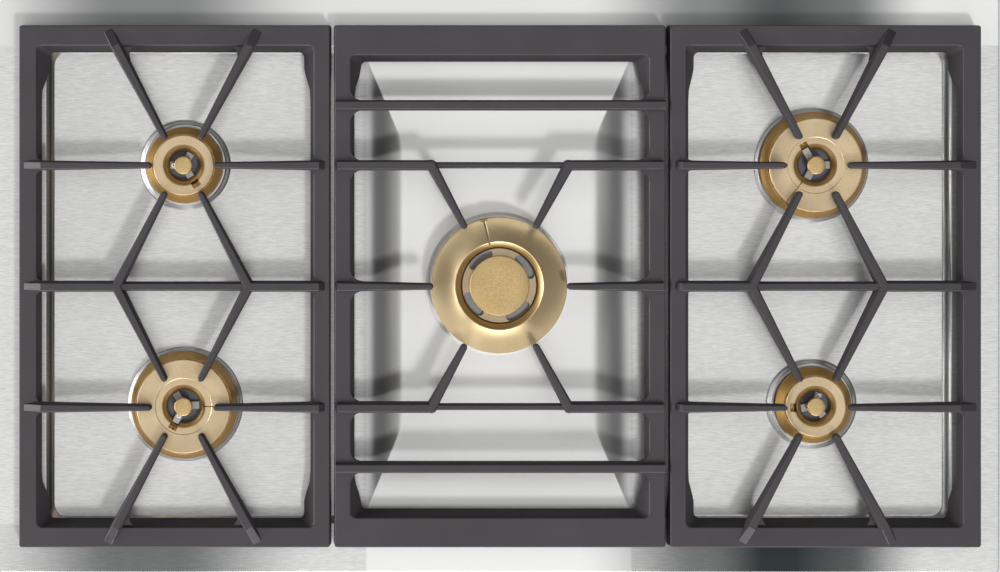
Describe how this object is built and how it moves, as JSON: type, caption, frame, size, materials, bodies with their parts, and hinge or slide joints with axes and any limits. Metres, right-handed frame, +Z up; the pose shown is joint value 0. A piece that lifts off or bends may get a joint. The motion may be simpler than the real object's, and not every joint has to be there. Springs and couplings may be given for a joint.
{
  "type": "gas cooktop",
  "caption": "Built-in gas cooktop: a recessed steel plate with cast pan supports over brass burners and a wok burner, above a shallow housing with its gas pipework.",
  "frame": {"origin": "Middle of the underside of the housing.", "axes": "+X to the right seen from the front, +Y to the back, +Z up; the front edge faces -Y."},
  "size_m": [0.914, 0.524, 0.0915],
  "materials": {
    "brushed_steel": "brushed along the width, satin",
    "seal": "matt",
    "cast_iron": "fine-grained matt enamel",
    "dark_brass": "fine turned, heat darkened",
    "light_brass": "fine turned satin",
    "cap_brass": "fine textured",
    "burner_aluminium": "cast, dull",
    "ceramic": "glazed",
    "gas_brass": "machined",
    "gas_steel": "drawn tube",
    "black_plastic": "matt",
    "zinc_steel": "zinc coated sheet"
  },
  "bodies": {
    "cooktop_base": {"cooktop_plate": "brushed_steel", "rim_seal": "seal", "housing_tray": "zinc_steel", "worktop_clamp_rear_left": "zinc_steel", "worktop_clamp_front_left": "zinc_steel", "worktop_clamp_rear_right": "zinc_steel", "worktop_clamp_front_right": "zinc_steel", "burner_cup_rear_left": "burner_aluminium", "inner_burner_rear_left": "burner_aluminium", "igniter_rear_left": "ceramic", "gas_jet_rear_left": "gas_brass", "burner_cup_front_left": "burner_aluminium", "inner_burner_front_left": "burner_aluminium", "igniter_front_left": "ceramic", "gas_jet_front_left": "gas_brass", "burner_cup_rear_right": "burner_aluminium", "inner_burner_rear_right": "burner_aluminium", "igniter_rear_right": "ceramic", "gas_jet_rear_right": "gas_brass", "burner_cup_front_right": "burner_aluminium", "inner_burner_front_right": "burner_aluminium", "igniter_front_right": "ceramic", "gas_jet_front_right": "gas_brass", "burner_cup_wok": "burner_aluminium", "igniter_wok": "ceramic", "gas_jet_wok_inner": "gas_brass", "gas_jet_wok_outer": "gas_brass", "gas_manifold": "gas_steel", "gas_valve_rear_left": "gas_brass", "gas_pipe_rear_left": "gas_steel", "gas_valve_front_left": "gas_brass", "gas_pipe_front_left": "gas_steel", "gas_valve_rear_right": "gas_brass", "gas_pipe_rear_right": "gas_steel", "gas_valve_front_right": "gas_brass", "gas_pipe_front_right": "gas_steel", "gas_valve_wok_inner": "gas_brass", "gas_pipe_wok_inner": "gas_steel", "gas_valve_wok_outer": "gas_brass", "gas_pipe_wok_outer": "gas_steel", "ignition_box": "black_plastic"},
    "pan_support_left": {"pan_support_left": "cast_iron"},
    "pan_support_centre": {"pan_support_centre": "cast_iron"},
    "pan_support_right": {"pan_support_right": "cast_iron"},
    "flame_ring_rear_left": {"flame_ring_rear_left": "dark_brass"},
    "burner_lid_rear_left": {"burner_lid_rear_left": "light_brass"},
    "burner_cap_rear_left": {"burner_cap_rear_left": "cap_brass"},
    "flame_ring_front_left": {"flame_ring_front_left": "dark_brass"},
    "burner_lid_front_left": {"burner_lid_front_left": "light_brass"},
    "burner_cap_front_left": {"burner_cap_front_left": "cap_brass"},
    "flame_ring_rear_right": {"flame_ring_rear_right": "dark_brass"},
    "burner_lid_rear_right": {"burner_lid_rear_right": "light_brass"},
    "burner_cap_rear_right": {"burner_cap_rear_right": "cap_brass"},
    "flame_ring_front_right": {"flame_ring_front_right": "dark_brass"},
    "burner_lid_front_right": {"burner_lid_front_right": "light_brass"},
    "burner_cap_front_right": {"burner_cap_front_right": "cap_brass"},
    "flame_ring_wok": {"flame_ring_wok": "light_brass"},
    "burner_head_wok": {"burner_head_wok": "light_brass"},
    "burner_cap_wok": {"burner_cap_wok": "cap_brass"}
  },
  "joints": [
    {"name": "pan_support_left_lift", "type": "slide", "parent": "cooktop_base", "child": "pan_support_left", "axis": [0, 0, 1], "range_m": [0, 0.16]},
    {"name": "pan_support_centre_lift", "type": "slide", "parent": "cooktop_base", "child": "pan_support_centre", "axis": [0, 0, 1], "range_m": [0, 0.16]},
    {"name": "pan_support_right_lift", "type": "slide", "parent": "cooktop_base", "child": "pan_support_right", "axis": [0, 0, 1], "range_m": [0, 0.16]},
    {"name": "flame_ring_rear_left_lift", "type": "slide", "parent": "cooktop_base", "child": "flame_ring_rear_left", "axis": [0, 0, 1], "range_m": [0, 0.08]},
    {"name": "burner_lid_rear_left_lift", "type": "slide", "parent": "cooktop_base", "child": "burner_lid_rear_left", "axis": [0, 0, 1], "range_m": [0, 0.12]},
    {"name": "burner_cap_rear_left_lift", "type": "slide", "parent": "cooktop_base", "child": "burner_cap_rear_left", "axis": [0, 0, 1], "range_m": [0, 0.06]},
    {"name": "flame_ring_front_left_lift", "type": "slide", "parent": "cooktop_base", "child": "flame_ring_front_left", "axis": [0, 0, 1], "range_m": [0, 0.08]},
    {"name": "burner_lid_front_left_lift", "type": "slide", "parent": "cooktop_base", "child": "burner_lid_front_left", "axis": [0, 0, 1], "range_m": [0, 0.12]},
    {"name": "burner_cap_front_left_lift", "type": "slide", "parent": "cooktop_base", "child": "burner_cap_front_left", "axis": [0, 0, 1], "range_m": [0, 0.06]},
    {"name": "flame_ring_rear_right_lift", "type": "slide", "parent": "cooktop_base", "child": "flame_ring_rear_right", "axis": [0, 0, 1], "range_m": [0, 0.08]},
    {"name": "burner_lid_rear_right_lift", "type": "slide", "parent": "cooktop_base", "child": "burner_lid_rear_right", "axis": [0, 0, 1], "range_m": [0, 0.12]},
    {"name": "burner_cap_rear_right_lift", "type": "slide", "parent": "cooktop_base", "child": "burner_cap_rear_right", "axis": [0, 0, 1], "range_m": [0, 0.06]},
    {"name": "flame_ring_front_right_lift", "type": "slide", "parent": "cooktop_base", "child": "flame_ring_front_right", "axis": [0, 0, 1], "range_m": [0, 0.08]},
    {"name": "burner_lid_front_right_lift", "type": "slide", "parent": "cooktop_base", "child": "burner_lid_front_right", "axis": [0, 0, 1], "range_m": [0, 0.12]},
    {"name": "burner_cap_front_right_lift", "type": "slide", "parent": "cooktop_base", "child": "burner_cap_front_right", "axis": [0, 0, 1], "range_m": [0, 0.06]},
    {"name": "flame_ring_wok_lift", "type": "slide", "parent": "cooktop_base", "child": "flame_ring_wok", "axis": [0, 0, 1], "range_m": [0, 0.08]},
    {"name": "burner_head_wok_lift", "type": "slide", "parent": "flame_ring_wok", "child": "burner_head_wok", "axis": [0, 0, 1], "range_m": [0, 0.04]},
    {"name": "burner_cap_wok_lift", "type": "slide", "parent": "burner_head_wok", "child": "burner_cap_wok", "axis": [0, 0, 1], "range_m": [0, 0.03]}
  ],
  "couplings": [
    {"joint": "flame_ring_rear_left_lift", "follows": "pan_support_left_lift", "ratio": 0.5},
    {"joint": "burner_lid_rear_left_lift", "follows": "pan_support_left_lift", "ratio": 0.75},
    {"joint": "flame_ring_front_left_lift", "follows": "pan_support_left_lift", "ratio": 0.5},
    {"joint": "burner_lid_front_left_lift", "follows": "pan_support_left_lift", "ratio": 0.75},
    {"joint": "flame_ring_rear_right_lift", "follows": "pan_support_right_lift", "ratio": 0.5},
    {"joint": "burner_lid_rear_right_lift", "follows": "pan_support_right_lift", "ratio": 0.75},
    {"joint": "flame_ring_front_right_lift", "follows": "pan_support_right_lift", "ratio": 0.5},
    {"joint": "burner_lid_front_right_lift", "follows": "pan_support_right_lift", "ratio": 0.75},
    {"joint": "flame_ring_wok_lift", "follows": "pan_support_centre_lift", "ratio": 0.5}
  ]
}
